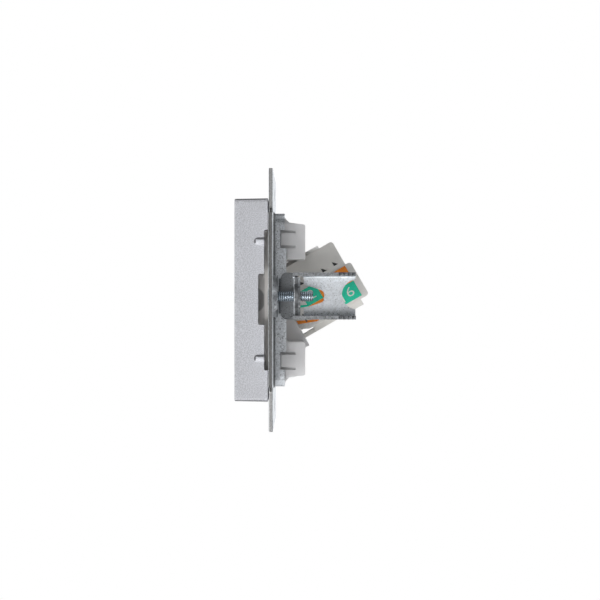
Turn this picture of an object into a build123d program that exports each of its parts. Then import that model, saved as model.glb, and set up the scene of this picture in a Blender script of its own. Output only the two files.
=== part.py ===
from build123d import *
import os

# Ethernet wall socket. The origin is the centre of the yoke's wall face.
# -Y looks into the room, +Y into the wall box, +Z is up. All sizes are in millimetres.

# Clearances
fit_clear = 0.2          # plastic insert in its metal or plastic seat
seat_clear = 0.1         # snap faces that hold a piece
thread_clear = 0.05      # screw in its threaded lug, and head over the yoke
pivot_clear = 0.3        # claw foot over its pivot rib
cut_over = 1.0           # how far a cutting shape passes the face that it opens
pick_room = 0.01         # how near to a level an edge must lie to be picked

# Yoke, a frame stamped from one steel sheet
yoke_size = 71.0
yoke_sheet = 1.1
yoke_notch_width = 6.8   # corner notch, along X
yoke_notch_height = 12.2 # corner notch, along Z
yoke_notch_r = 2.0
yoke_edge_r = 0.25       # worn round by the press tool
collar_width = 45.0
collar_height = 47.4
collar_corner_r = 3.0
collar_rear = 3.55
collar_end_rear = 3.1    # lower stretch of the collar beyond the snap notches
collar_bend = 0.6
box_screw_spacing = 60.0
box_screw_hole_d = 4.0
seat_rise = 1.3          # pressed seat of the claw screw, behind the wall plane
seat_base_r = 4.6
seat_floor_r = 3.4

# Snap tongues of the carrier, two on each side
tongue_z = 16.6
tongue_width = 3.4
tongue_slot = 0.75
tongue_tip = 2.05        # front end of the tongue, against the collar notch
tongue_root = 6.1
barb_height = 1.0
barb_flat = 0.55
groove_depth = 0.9       # grooves beside each tongue

# Cover plate, a painted plastic shell
cover_size = 55.0
cover_front = 10.4       # front face, ahead of the wall plane
cover_rim_gap = 0.3
cover_wall = 1.6
cover_front_wall = 1.8
cover_corner_r = 1.2
cover_edge_r = 0.3
cover_draft = 1.0
screw_notch_front = 4.0
screw_notch_height = 13.8
screw_notch_z = 0.2
long_notch_front = 2.4
long_notch_height = 38.0
notch_corner_r = 0.5
rib_z = 15.8
rib_d = 2.2
rib_front = 5.2
rib_sunk = 0.3           # how far the rib's axis lies inside the side face
leg_x = 17.4
leg_wall = 1.6
leg_width = 6.0
leg_hook = 1.2
leg_hook_length = 1.2
post_x = 15.0
post_width = 3.0
post_depth = 2.2

# Scoop in the cover, which leads the plug to the tilted jack
scoop_half_width = 9.0
scoop_wall = 1.2
jack_face_gap = 0.2      # jack face behind the scoop's back wall

# Jack, drawn upright along Y and then tilted about X
jack_tilt = 30.0
jack_width = 14.8
jack_front = -7.0
jack_rear = 24.0
jack_low = -12.0
jack_deck = -1.33        # top of the body, where the cap stands
jack_face_top = 5.0
lip_reach = 1.2
lip_length = 1.4
jack_corner_r = 1.0
foot_low = -13.7         # underside of the latch arm
foot_rear = 21.3
foot_front = 5.7
foot_width = 12.8
latch_width = 10.0
latch_thick = 1.2
throat_rise = 1.7        # height of the open triangle above the latch arm
port_width = 11.9
port_low = -9.0
port_high = -2.2
port_depth = 13.6
port_key_width = 6.2
port_key_drop = 1.4
port_key_depth = 8.0

# Wiring cap over the terminals
cap_top = 6.27
cap_past_wire = 2.34     # cap past the last terminal
cap_wall = 1.0
cap_roof = 1.1
cap_corner_r = 1.0
cap_crown = 1.1          # rise of the arched roof at its middle
cap_crown_front = 6.0
cap_crown_rear = 18.3
wire_pitch = 3.62
wire_first = 9.2
wire_count = 4
wire_notch = 1.35
wire_notch_lift = 1.15   # notch sill above the deck

# Inner pieces of the jack
contact_count = 8
contact_pitch = 1.02
contact_wire = 0.4
contact_turn = -0.8      # front turn of the wire
contact_run = -3.2       # level of the forward run
contact_end = (5.0, -6.4)
contact_leg = 8.2
contact_bend = 0.35
contact_slot_clear = 0.08
comb_length = 3.0
board_thick = 1.0
blade_thick = 0.4
blade_width = 1.8
blade_height = 4.5
blade_slot = 0.4
blade_slot_depth = 3.0
blade_x = 4.9
block_width = 2.7
block_height = 5.2
block_margin = 1.45      # comb past the first terminal
wire_slot = 1.0
wire_slot_floor = 1.2    # floor of the wire slot above the board

# Label on each side of the jack
label_front = 2.5
label_rear = 22.1
label_low = -11.2
label_high = -1.6
label_thick = 0.12

# Carrier, the moulded insert
carrier_wall = 1.5
flange_lap = 1.1         # flange over the edge of the yoke opening
flange_thick = 1.5
block_rear = 8.75
block_shoulder = 3.2     # where the block's outer face starts to fall in
block_neck = 1.2
block_taper = 0.6
upper_block_low = 11.15
lower_block_high = -11.5
block_corner_r = 0.6
panel_rear = 2.3
panel_thick = 2.0
panel_low = -15.9
panel_high = 8.5
gusset_clear = 0.4       # between the scoop's cheek and the gusset
jack_relief = 1.2        # room round the cap where it passes the upper block
guard_wall = 1.2         # wall of the flange beside the claw screw
guard_front = 4.1
guard_height = 16.0

# Claw, bent from one sheet, and its screw
claw_sheet = 1.0
claw_gap = 0.6           # claw back over the collar
claw_z = 1.1
claw_height = 12.7
claw_rear = 22.35
claw_foot_r = 1.6
pivot_rib_r = 1.3
pivot_rib_length = 11.4
claw_flange_front = 5.4
claw_flange_reach = 5.4
claw_bend_r = 0.5
lug_front = 5.7
lug_reach = 2.9          # from the claw's back to the screw's axis
lug_base = 10.4
lug_length = 7.2         # from the claw's back to the lug's tip
lug_shoulder = 1.6
lug_nose = 6.6           # width of the lug past its shoulders
lug_tip = 2.8
lug_tip_r = 1.3
lug_boss_r = 2.3
lug_boss = 0.7
relief_r = 0.6
bite_r = 4.0
bite_y = 22.7
bite_z = 1.5
tooth_pitch = 1.2
tooth_depth = 0.45
tooth_count = 4
screw_d = 3.0
screw_z = 1.0
screw_end = 10.8
screw_head_d = 5.5
screw_head = 1.5
screw_hole_d = 3.4
screw_hole_slack = 0.8   # slot length towards the middle, for the swing
drive_width = 0.8
drive_length = 3.2
drive_depth = 0.9

# Derived levels
yoke_front = -yoke_sheet
cover_rim = yoke_front - cover_rim_gap
opening_width = collar_width - 2 * yoke_sheet
opening_height = collar_height - 2 * yoke_sheet
insert_half_x = opening_width / 2 - fit_clear
insert_half_z = opening_height / 2 - fit_clear
insert_corner_r = collar_corner_r - yoke_sheet - fit_clear
flange_front = yoke_front - flange_thick
seat_floor = seat_rise - yoke_sheet
notch_floor = tongue_tip - seat_clear
notch_half = tongue_width / 2 + tongue_slot
panel_front = panel_rear - panel_thick
window_half = jack_width / 2 + fit_clear
window_low = jack_low - fit_clear
window_high = jack_face_top + fit_clear
scoop_back = jack_front - jack_face_gap
gusset_half = scoop_half_width + scoop_wall + gusset_clear
cap_front = panel_rear + fit_clear
cap_rear = wire_first + (wire_count - 1) * wire_pitch + cap_past_wire
board_top = jack_deck + board_thick
cap_inner = jack_width / 2 - cap_wall
comb_front = jack_front + port_depth
comb_rear = comb_front + comb_length
claw_x = collar_width / 2 + claw_gap
pivot_x = claw_x + claw_sheet / 2
screw_x = claw_x + claw_sheet + lug_reach
pivot_y = pivot_rib_r + pivot_clear + claw_sheet / 2
claw_low = claw_z - claw_height / 2
claw_high = claw_z + claw_height / 2
cover_half = cover_size / 2

tilt = Rot(jack_tilt, 0, 0)


def block(x0, x1, y0, y1, z0, z1):
    """Box between two corners."""
    middle = Pos((x0 + x1) / 2, (y0 + y1) / 2, (z0 + z1) / 2)
    return middle * Box(x1 - x0, y1 - y0, z1 - z0)


def wide_block(half_x, y0, y1, z0, z1):
    """Box that lies evenly about the middle plane."""
    return block(-half_x, half_x, y0, y1, z0, z1)


def rod_x(x0, x1, y, z, r):
    """Cylinder along X."""
    return Pos((x0 + x1) / 2, y, z) * Rot(0, 90, 0) * Cylinder(r, x1 - x0)


def rod_y(x, y0, y1, z, r):
    """Cylinder along Y."""
    return Pos(x, (y0 + y1) / 2, z) * Rot(90, 0, 0) * Cylinder(r, y1 - y0)


def rod_z(x, y, z0, z1, r):
    """Cylinder along Z."""
    return Pos(x, y, (z0 + z1) / 2) * Cylinder(r, z1 - z0)


def cone_y(x, y0, y1, z, r0, r1):
    """Cone along Y, of radius r0 at y0 and r1 at y1."""
    return Pos(x, (y0 + y1) / 2, z) * Rot(-90, 0, 0) * Cone(r0, r1, y1 - y0)


def plate(sketch, y0, y1):
    """Outline seen from the room, thick from y0 back to y1."""
    back = Plane(origin=(0, y1, 0), x_dir=(1, 0, 0), z_dir=(0, -1, 0))
    return extrude(back * sketch, amount=y1 - y0)


def outline(points):
    """Closed face through the points."""
    return make_face(Polyline(*points, close=True))


def side_prism(face, x0, x1):
    """Side outline, with Y and Z as its axes, from x0 to x1."""
    side = Plane(origin=(x0, 0, 0), x_dir=(0, 1, 0), z_dir=(1, 0, 0))
    return extrude(side * face, amount=x1 - x0)


def tilted_point(along, up):
    """Y and Z of a point given along the jack and across it."""
    spot = Vector(0, along, up).rotate(Axis.X, jack_tilt)
    return (spot.Y, spot.Z)


def both_sides(part):
    """The right-hand part and its mirror image."""
    return part + mirror(part, about=Plane.YZ)


def make_yoke():
    inner_x = yoke_size / 2 - yoke_notch_width
    inner_z = yoke_size / 2 - yoke_notch_height
    sheet_outline = Rectangle(yoke_size, 2 * inner_z) + Rectangle(2 * inner_x, yoke_size)
    corners = sheet_outline.vertices().filter_by_position(Axis.X, -inner_x - pick_room, inner_x + pick_room)
    corners = corners.filter_by_position(Axis.Y, -inner_z - pick_room, inner_z + pick_room)
    sheet_outline = fillet(corners, yoke_notch_r)
    yoke = plate(sheet_outline, yoke_front, 0)
    faces = yoke.faces().sort_by(Axis.Y)
    yoke = fillet(faces[0].edges() + faces[-1].edges(), yoke_edge_r)
    yoke += plate(RectangleRounded(collar_width, collar_height, collar_corner_r), 0, collar_rear)
    bend_outline = RectangleRounded(
        collar_width + 2 * collar_bend, collar_height + 2 * collar_bend, collar_corner_r + collar_bend
    )
    wall_face = Plane(origin=(0, 0, 0), x_dir=(1, 0, 0), z_dir=(0, 1, 0))
    yoke += extrude(wall_face * bend_outline, amount=collar_bend, taper=45)
    rib_ends = (claw_z - pivot_rib_length / 2, claw_z + pivot_rib_length / 2)
    rib_span = (pivot_x - pivot_rib_r, pivot_x + pivot_rib_r)
    rib = rod_z(pivot_x, 0, *rib_ends, pivot_rib_r) & block(*rib_span, yoke_front, pivot_rib_r, *rib_ends)
    seat = cone_y(screw_x, 0, seat_rise, screw_z, seat_base_r, seat_floor_r)
    yoke += both_sides(rib + seat)
    inner_r = collar_corner_r - yoke_sheet
    opening = RectangleRounded(opening_width, opening_height, inner_r)
    yoke -= plate(opening, yoke_front - cut_over, collar_rear + cut_over)
    side_reach = collar_width / 2 + cut_over
    for end in (-1, 1):
        z0, z1 = sorted((end * (tongue_z - notch_half), end * (tongue_z + notch_half)))
        yoke -= wide_block(side_reach, notch_floor, collar_rear + cut_over, z0, z1)
        z0, z1 = sorted((end * tongue_z, end * collar_height))
        yoke -= wide_block(side_reach, collar_end_rear, collar_rear + cut_over, z0, z1)
        hole_z = end * box_screw_spacing / 2
        yoke -= rod_y(0, yoke_front - cut_over, cut_over, hole_z, box_screw_hole_d / 2)
    dish = cone_y(screw_x, yoke_front, seat_floor, screw_z, seat_base_r, seat_floor_r)
    dish += rod_y(screw_x, yoke_front - cut_over, yoke_front, screw_z, seat_base_r)
    slot_x = screw_x - screw_hole_slack / 2
    slot = Pos(slot_x, screw_z) * SlotCenterToCenter(screw_hole_slack, screw_hole_d)
    return yoke - both_sides(dish + plate(slot, yoke_front, seat_rise + cut_over))


def make_cover():
    depth = cover_front + cover_rim
    rim = Plane(origin=(0, cover_rim, 0), x_dir=(1, 0, 0), z_dir=(0, -1, 0))
    front_outline = RectangleRounded(cover_size, cover_size, cover_corner_r)
    shell = extrude(rim * front_outline, depth, taper=cover_draft)
    shell = fillet(shell.faces().sort_by(Axis.Y)[0].edges(), cover_edge_r)
    rib_x = cover_half - rib_sunk
    for end in (-1, 1):
        nose_y = -rib_front + rib_d / 2
        rib = rod_y(rib_x, nose_y, -long_notch_front, end * rib_z, rib_d / 2)
        rib += Pos(rib_x, nose_y, end * rib_z) * Sphere(rib_d / 2)
        shell += both_sides(rib)
    inner_size = cover_size - 2 * cover_wall
    inner_depth = depth - cover_front_wall
    shell -= extrude(rim * Rectangle(inner_size, inner_size), inner_depth, taper=cover_draft)
    inner_half = inner_size / 2
    wall_span = (inner_half - cut_over, cover_half + cut_over)
    for front, height, z in (
        (screw_notch_front, screw_notch_height, screw_notch_z),
        (long_notch_front, long_notch_height, 0),
    ):
        notch_length = front + cover_rim + 2 * notch_corner_r
        notch = RectangleRounded(notch_length, height, notch_corner_r)
        notch = Pos(-front + notch_length / 2, z) * notch
        shell -= both_sides(side_prism(notch, *wall_span))
    inner_front = -cover_front + cover_front_wall
    for end in (-1, 1):
        post_z = end * (insert_half_z + flange_lap / 2)
        post_ends = sorted((post_z - post_depth / 2, post_z + post_depth / 2))
        post_span = (post_x - post_width / 2, post_x + post_width / 2)
        shell += both_sides(block(*post_span, inner_front, flange_front, *post_ends))
    hook_y = yoke_front + seat_clear
    leg_out = leg_x + leg_wall / 2
    half = leg_width / 2
    leg = block(leg_x - leg_wall / 2, leg_out, inner_front, hook_y + leg_hook_length, -half, half)
    leg += block(leg_x, leg_out + leg_hook, hook_y, hook_y + leg_hook_length, -half, half)
    shell += both_sides(leg)
    reach = 2 * cover_size
    cheek = scoop_half_width + scoop_wall
    scoop_rear = scoop_back + scoop_wall
    scoop = tilt * wide_block(cheek, -reach, scoop_rear, window_low - scoop_wall, reach)
    room_half = cover_half - cover_wall
    shell += scoop & wide_block(cheek, -cover_front, block_rear, -room_half, room_half)
    shell -= tilt * wide_block(scoop_half_width, -reach, scoop_back, window_low, reach)
    window_span = (scoop_back - cut_over, scoop_rear + cut_over)
    return shell - tilt * wide_block(window_half, *window_span, window_low, window_high)


def carrier_block(inner_z, end):
    """Hollow block behind the collar, above the jack (end 1) or below it (end -1)."""
    outer_z = insert_half_z
    face = outline([
        (flange_front, inner_z),
        (block_rear, inner_z),
        (block_rear, end * (outer_z - block_neck - block_taper)),
        (block_shoulder + block_neck, end * (outer_z - block_neck)),
        (block_shoulder, end * outer_z),
        (flange_front, end * outer_z),
    ])
    face = fillet(face.vertices().group_by(Axis.X)[-1], block_corner_r)
    solid = side_prism(face, -insert_half_x, insert_half_x)
    hollow_out = end * (outer_z - block_neck - block_taper - carrier_wall)
    hollow_z = sorted((inner_z + end * carrier_wall, hollow_out))
    hollow_x = insert_half_x - carrier_wall
    return solid - wide_block(hollow_x, flange_front - cut_over, block_rear - carrier_wall, *hollow_z)


def make_carrier():
    insert_outline = RectangleRounded(2 * insert_half_x, 2 * insert_half_z, insert_corner_r)
    hollow_x = insert_half_x - carrier_wall
    hollow_z = insert_half_z - carrier_wall
    ring_rear = notch_floor + carrier_wall
    walls = plate(insert_outline, yoke_front, ring_rear)
    walls -= wide_block(hollow_x, yoke_front, ring_rear + cut_over, -hollow_z, hollow_z)
    blocks = carrier_block(upper_block_low, 1) + carrier_block(lower_block_high, -1)
    cap_way = cap_top + cap_crown + jack_relief
    relief_half = window_half + jack_relief
    blocks -= tilt * wide_block(relief_half, panel_rear, 2 * jack_rear, jack_deck, cap_way)
    walls += blocks & plate(insert_outline, flange_front, block_rear + cut_over)
    flange_x = opening_width / 2 + flange_lap
    flange_z = opening_height / 2 + flange_lap
    flange = wide_block(flange_x, flange_front, yoke_front, -flange_z, flange_z)
    pit = insert_half_z - block_neck - block_taper - carrier_wall
    through = (flange_front - cut_over, cut_over)
    flange -= wide_block(hollow_x, *through, upper_block_low + carrier_wall, pit)
    flange -= wide_block(hollow_x, *through, -pit, lower_block_high - carrier_wall)
    leg_way = leg_wall / 2 + 2 * fit_clear
    window_z = leg_width / 2 + fit_clear
    flange -= both_sides(block(leg_x - leg_way, leg_x + leg_way, *through, -window_z, window_z))
    guard_z = (screw_notch_z - guard_height / 2, screw_notch_z + guard_height / 2)
    flange += both_sides(block(flange_x - guard_wall, flange_x, -guard_front, flange_front, *guard_z))
    carrier = walls + flange
    scoop_low = panel_low + carrier_wall
    carrier -= tilt * wide_block(gusset_half, -2 * jack_rear, panel_front, scoop_low, panel_high)
    top_y, top_z = tilted_point(panel_rear, panel_high)
    gusset = outline([
        (flange_front, top_z),
        (top_y, top_z),
        tilted_point(panel_rear, panel_low),
        tilted_point(panel_front, panel_low),
        (flange_front, -pit - carrier_wall / 2),
    ])
    carrier += both_sides(side_prism(gusset, gusset_half, gusset_half + carrier_wall))
    panel_half = gusset_half + carrier_wall
    carrier += tilt * wide_block(panel_half, panel_front, panel_rear, panel_low, panel_high)
    window_span = (panel_front - cut_over, panel_rear + cut_over)
    carrier -= tilt * wide_block(window_half, *window_span, window_low, window_high)
    skin = (insert_half_x - groove_depth, insert_half_x + cut_over)
    for end in (-1, 1):
        z0 = end * tongue_z - tongue_width / 2
        z1 = end * tongue_z + tongue_width / 2
        low_slot = block(*skin, notch_floor - tongue_slot, tongue_root, z0 - tongue_slot, z0)
        high_slot = block(*skin, notch_floor - tongue_slot, tongue_root, z1, z1 + tongue_slot)
        tip_slot = block(*skin, notch_floor - tongue_slot, tongue_tip, z0, z1)
        carrier -= both_sides(low_slot + high_slot + tip_slot)
        barb_top = insert_half_x + barb_height
        barb_face = outline([
            (insert_half_x - carrier_wall, tongue_tip),
            (barb_top, tongue_tip),
            (barb_top, tongue_tip + barb_flat),
            (insert_half_x, tongue_root),
            (insert_half_x - carrier_wall, tongue_root),
        ])
        barb = extrude(Plane.XY.offset(z0) * barb_face, amount=tongue_width)
        carrier += both_sides(barb)
    return carrier


def make_jack_housing():
    half = jack_width / 2
    body = wide_block(half, jack_front, jack_rear, jack_low, jack_deck)
    body = fillet(body.edges().filter_by(Axis.X).group_by(Axis.Y)[-1], jack_corner_r)
    body += wide_block(half, jack_front, panel_rear, jack_low, jack_face_top)
    lip_rear = panel_front - seat_clear
    lip_levels = (jack_low - lip_reach, jack_face_top + lip_reach)
    body += wide_block(half, lip_rear - lip_length, lip_rear, *lip_levels)
    arm_top = foot_low + latch_thick
    throat = outline([
        (panel_rear, arm_top + throat_rise),
        (panel_rear, jack_low - cut_over),
        (foot_front, jack_low - cut_over),
        (foot_front, arm_top),
    ])
    body -= side_prism(throat, -half - cut_over, half + cut_over)
    body += wide_block(foot_width / 2, foot_front, foot_rear, foot_low, jack_low)
    body += wide_block(latch_width / 2, panel_rear + seat_clear, foot_rear, foot_low, arm_top)
    body -= wide_block(port_width / 2, jack_front - cut_over, comb_rear, port_low, port_high)
    key_end = jack_front + port_key_depth
    key_low = port_low - port_key_drop
    body -= wide_block(port_key_width / 2, jack_front - cut_over, key_end, key_low, port_low)
    leg_half = contact_count * contact_pitch / 2
    leg_span = (contact_leg - contact_wire, contact_leg + contact_wire)
    body -= wide_block(leg_half, *leg_span, port_high - cut_over, jack_deck + cut_over)
    return tilt * body


def wire_places():
    """Distance along the jack of each terminal."""
    return [wire_first + number * wire_pitch for number in range(wire_count)]


def make_wiring_cap():
    half = jack_width / 2
    face = outline([
        (cap_front, jack_deck),
        (cap_rear, jack_deck),
        (cap_rear, cap_top),
        (cap_front, cap_top),
    ])
    rear_top = face.vertices().group_by(Axis.X)[-1].sort_by(Axis.Y)[-1]
    cap = side_prism(fillet(rear_top, cap_corner_r), -half, half)
    ceiling = cap_top - cap_roof
    hollow = (cap_front + cap_wall, cap_rear - cap_wall, jack_deck - cut_over, ceiling)
    cap -= wide_block(cap_inner, *hollow)
    arch = ThreePointArc((-half, cap_top), (0, cap_top + cap_crown), (half, cap_top))
    arch += Polyline((half, cap_top), (half, ceiling), (-half, ceiling), (-half, cap_top))
    cap += plate(make_face(arch), cap_crown_front, cap_crown_rear)
    sill = jack_deck + wire_notch_lift
    for place in wire_places():
        notch = outline([
            (place - wire_notch / 2, sill),
            (place + wire_notch / 2, sill),
            (place - wire_notch / 2, sill + wire_notch),
        ])
        cap -= side_prism(notch, -half - cut_over, half + cut_over)
    return tilt * cap


def contact_x(number):
    """Sideways place of one contact wire."""
    return (number - (contact_count - 1) / 2) * contact_pitch


def make_contact_block():
    half = port_width / 2 - seat_clear
    low = port_low + seat_clear
    high = port_high - seat_clear
    comb = wide_block(half, comb_front, comb_rear - seat_clear, low, high)
    slot_half = contact_wire / 2 + contact_slot_clear
    slot_rear = contact_leg + contact_wire
    slot = (comb_front - cut_over, slot_rear, contact_run - slot_half, high + cut_over)
    for number in range(contact_count):
        x = contact_x(number)
        comb -= block(x - slot_half, x + slot_half, *slot)
    return tilt * comb


def make_contact_wire(number):
    route = FilletPolyline(
        (contact_leg, board_top),
        (contact_leg, contact_run),
        (contact_turn, contact_run),
        contact_end,
        radius=contact_bend,
    )
    x = contact_x(number)
    strip = trace(route, contact_wire)
    return tilt * side_prism(strip, x - contact_wire / 2, x + contact_wire / 2)


def make_circuit_board():
    half = cap_inner - fit_clear
    board_span = (cap_front + cap_wall + fit_clear, cap_rear - cap_wall - fit_clear)
    board = wide_block(half, *board_span, jack_deck, board_top)
    hole = contact_wire / 2 + contact_slot_clear
    for number in range(contact_count):
        x = contact_x(number)
        leg = (contact_leg - hole, contact_leg + hole)
        board -= block(x - hole, x + hole, *leg, jack_deck - cut_over, board_top + cut_over)
    return tilt * board


def make_terminal_block():
    span = (blade_x - block_width / 2, blade_x + block_width / 2)
    front = wire_places()[0] - block_margin
    rear = cap_rear - cap_wall - fit_clear
    comb = block(*span, front, rear, board_top, board_top + block_height)
    over = (span[0] - cut_over, span[1] + cut_over)
    pocket_thick = blade_thick / 2 + thread_clear
    pocket_half = blade_width / 2 + thread_clear
    top = board_top + block_height + cut_over
    for place in wire_places():
        wire_way = (place - wire_slot / 2, place + wire_slot / 2)
        comb -= block(*over, *wire_way, board_top + wire_slot_floor, top)
        blade_way = (place - pocket_half, place + pocket_half)
        comb -= block(blade_x - pocket_thick, blade_x + pocket_thick, *blade_way, board_top - cut_over, top)
    return tilt * comb


def make_blades(side):
    """Four blades on the right (side 1) or on the left (side -1)."""
    span = (side * blade_x - blade_thick / 2, side * blade_x + blade_thick / 2)
    top = board_top + blade_height
    blades = []
    for place in wire_places():
        blade = block(*span, place - blade_width / 2, place + blade_width / 2, board_top, top)
        fork = (place - blade_slot / 2, place + blade_slot / 2)
        across = (span[0] - cut_over, span[1] + cut_over)
        blade -= block(*across, *fork, top - blade_slot_depth, top + cut_over)
        blades.append(tilt * blade)
    return Compound(blades)


def make_label():
    side = jack_width / 2
    return tilt * block(side, side + label_thick, label_front, label_rear, label_low, label_high)


def lug_outline():
    """Lug before it is bent: wide shoulders, then a nose that narrows to a round tip."""
    face = outline([
        (0, -lug_base / 2),
        (lug_shoulder, -lug_base / 2),
        (lug_shoulder, -lug_nose / 2),
        (lug_length, -lug_tip / 2),
        (lug_length, lug_tip / 2),
        (lug_shoulder, lug_nose / 2),
        (lug_shoulder, lug_base / 2),
        (0, lug_base / 2),
    ])
    return fillet(face.vertices().group_by(Axis.X)[-1], lug_tip_r)


def lug_cut(y):
    """Hole that the lug leaves in the claw's back, from y rearward, with round corner reliefs."""
    back = (claw_x - cut_over, claw_x + claw_sheet + cut_over)
    cut = side_prism(Pos(y, screw_z) * lug_outline(), *back)
    for end in (-1, 1):
        cut += rod_x(*back, y + relief_r, screw_z + end * (lug_base / 2), relief_r)
    return cut


def make_claw():
    back_out = claw_x + claw_sheet
    corner_span = (claw_low + claw_foot_r, claw_high - claw_foot_r)
    web = block(claw_x, back_out, pivot_y + claw_foot_r, claw_flange_front, claw_low, claw_high)
    web += block(claw_x, back_out, pivot_y, pivot_y + claw_foot_r, *corner_span)
    for z in corner_span:
        web += rod_x(claw_x, back_out, pivot_y + claw_foot_r, z, claw_foot_r)
    claw = web + rod_z(pivot_x, pivot_y, *corner_span, claw_sheet / 2)
    channel_out = claw_x + claw_flange_reach
    channel = block(claw_x, channel_out, claw_flange_front, claw_rear, claw_low, claw_high)
    low_in = claw_low + claw_sheet
    high_in = claw_high - claw_sheet
    channel -= block(back_out, channel_out + cut_over, 0, claw_rear + cut_over, low_in, high_in)
    bends = channel.edges().filter_by(Axis.Y).group_by(Axis.X)
    channel = fillet(bends[0], claw_sheet + claw_bend_r)
    lengthways = channel.edges().filter_by(Axis.Y)
    inner_bends = lengthways.filter_by_position(Axis.X, back_out - pick_room, back_out + pick_room)
    channel = fillet(inner_bends, claw_bend_r)
    for number in range(tooth_count):
        y = claw_rear - (number + 0.5) * tooth_pitch
        tooth_gap = Pos(channel_out, y, claw_z) * Rot(0, 0, 45)
        side = tooth_depth * 2 ** 0.5
        channel -= tooth_gap * Box(side, side, claw_height + cut_over)
    claw += channel
    lug_rear = lug_front + claw_sheet
    claw -= lug_cut(lug_rear)
    claw -= rod_x(claw_x - cut_over, back_out + cut_over, bite_y, bite_z, bite_r)
    root_x = (back_out - claw_sheet / 2, back_out)
    claw += block(*root_x, lug_front, lug_rear, screw_z - lug_base / 2, screw_z + lug_base / 2)
    claw += plate(Pos(back_out, screw_z) * lug_outline(), lug_front, lug_rear)
    claw += rod_y(screw_x, lug_front, lug_rear + lug_boss, screw_z, lug_boss_r)
    hole_r = screw_d / 2 + thread_clear
    hole_span = (lug_front - cut_over, lug_rear + lug_boss + cut_over)
    return claw - rod_y(screw_x, *hole_span, screw_z, hole_r)


def make_claw_screw():
    under_head = seat_floor - thread_clear
    head_top = under_head - screw_head
    screw = rod_y(screw_x, under_head, screw_end, screw_z, screw_d / 2)
    head = rod_y(screw_x, head_top, under_head, screw_z, screw_head_d / 2)
    head = fillet(head.edges().group_by(Axis.Y)[0], screw_head / 2)
    screw += head
    for width, height in ((drive_width, drive_length), (drive_length, drive_width)):
        drive = Box(width, 2 * drive_depth, height)
        screw -= Pos(screw_x, head_top, screw_z) * drive
    return screw


right_and_left = {
    "wiring_label": make_label(),
    "terminal_block": make_terminal_block(),
    "claw": make_claw(),
    "claw_screw": make_claw_screw(),
}
parts = {
    "mounting_yoke": make_yoke(),
    "cover_plate": make_cover(),
    "jack_carrier": make_carrier(),
    "jack_housing": make_jack_housing(),
    "wiring_cap": make_wiring_cap(),
    "contact_block": make_contact_block(),
    "circuit_board": make_circuit_board(),
}
for number in range(contact_count):
    parts[f"contact_wire_{number + 1}"] = make_contact_wire(number)
for name, part in right_and_left.items():
    parts[f"{name}_right"] = part
    parts[f"{name}_left"] = mirror(part, about=Plane.YZ)
for name, side in (("idc_blades_right", 1), ("idc_blades_left", -1)):
    parts[name] = make_blades(side)

os.makedirs("parts", exist_ok=True)
for name, part in parts.items():
    export_step(part, f"parts/{name}.step")
    print(name, len(part.solids()), round(part.volume, 2))
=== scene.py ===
# %% [markdown]
# # A flush network socket, dressed for its photograph
#
# The socket stands in a round wall box. A square silver cover faces the room, a stamped steel yoke
# lies on the wall, and a plastic carrier holds one tilted jack behind it. Two claws, drawn by screws,
# grip the box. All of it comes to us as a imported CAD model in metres, with -Y into the room and +Z up.
# This lesson keeps that frame, softens its edges, and gives each surface its finish.

# %% Load the frame
import math

import bmesh
import bpy
from mathutils import Matrix, Vector


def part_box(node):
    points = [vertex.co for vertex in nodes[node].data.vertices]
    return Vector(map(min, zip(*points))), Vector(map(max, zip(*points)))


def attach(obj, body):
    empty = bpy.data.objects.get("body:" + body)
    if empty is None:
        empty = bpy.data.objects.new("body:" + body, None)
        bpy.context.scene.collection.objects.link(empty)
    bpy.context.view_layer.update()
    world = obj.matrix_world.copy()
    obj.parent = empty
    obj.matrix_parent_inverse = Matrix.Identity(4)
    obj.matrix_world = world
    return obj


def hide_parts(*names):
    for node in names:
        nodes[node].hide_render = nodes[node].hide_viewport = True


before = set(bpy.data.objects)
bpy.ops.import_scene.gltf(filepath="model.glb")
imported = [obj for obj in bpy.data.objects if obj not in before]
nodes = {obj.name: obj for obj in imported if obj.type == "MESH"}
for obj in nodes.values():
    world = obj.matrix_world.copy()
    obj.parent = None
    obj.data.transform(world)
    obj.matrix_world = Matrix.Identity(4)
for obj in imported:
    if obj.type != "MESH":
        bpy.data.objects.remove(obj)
scene = bpy.context.scene
MM = 0.001
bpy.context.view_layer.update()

# %% [markdown]
# ## The camera
#
# The photograph looks at the socket's right side, level with its middle, from about half a metre.
# A longer lens from further away would hide the far edges, so the distance is worked out first, from
# how much smaller the far side looks, and the lens follows from the size of the picture.

# %% Camera at the photograph's place
CAMERA_DISTANCE = 480 * MM
AIM_Y = 7.3 * MM
FOCAL_PIXELS = 1678
PHOTO_PIXELS = 600

photo_lens = bpy.data.cameras.new("photo_camera")
photo_lens.sensor_width = 36.0
photo_lens.lens = photo_lens.sensor_width * FOCAL_PIXELS / PHOTO_PIXELS
photo_lens.clip_start = 10 * MM
photo_camera = bpy.data.objects.new("photo_camera", photo_lens)
photo_camera.location = (CAMERA_DISTANCE, AIM_Y, 0)
photo_camera.rotation_euler = (math.radians(90), 0, math.radians(90))
scene.collection.objects.link(photo_camera)
scene.camera = photo_camera
print("lens:", round(photo_lens.lens, 2), "mm")

# %% [markdown]
# ## One way to write a node tree
#
# The sky, the finishes and the repeated pieces are all node trees. One helper adds a node and takes its
# inputs by name: a plain value is set, and a socket of another node is linked. A second helper does the
# same for a step of arithmetic.

# %% Helpers for node trees


def fill(tree, socket, value):
    """Links the socket if the value is a socket itself, and sets it if not."""
    if isinstance(value, bpy.types.NodeSocket):
        tree.links.new(value, socket)
    else:
        socket.default_value = value


def node(tree, kind, **inputs):
    """A node of that kind, with inputs by name. An underscore stands for a space."""
    made = tree.nodes.new(kind)
    for name, value in inputs.items():
        fill(tree, made.inputs[name.replace("_", " ")], value)
    return made


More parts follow.
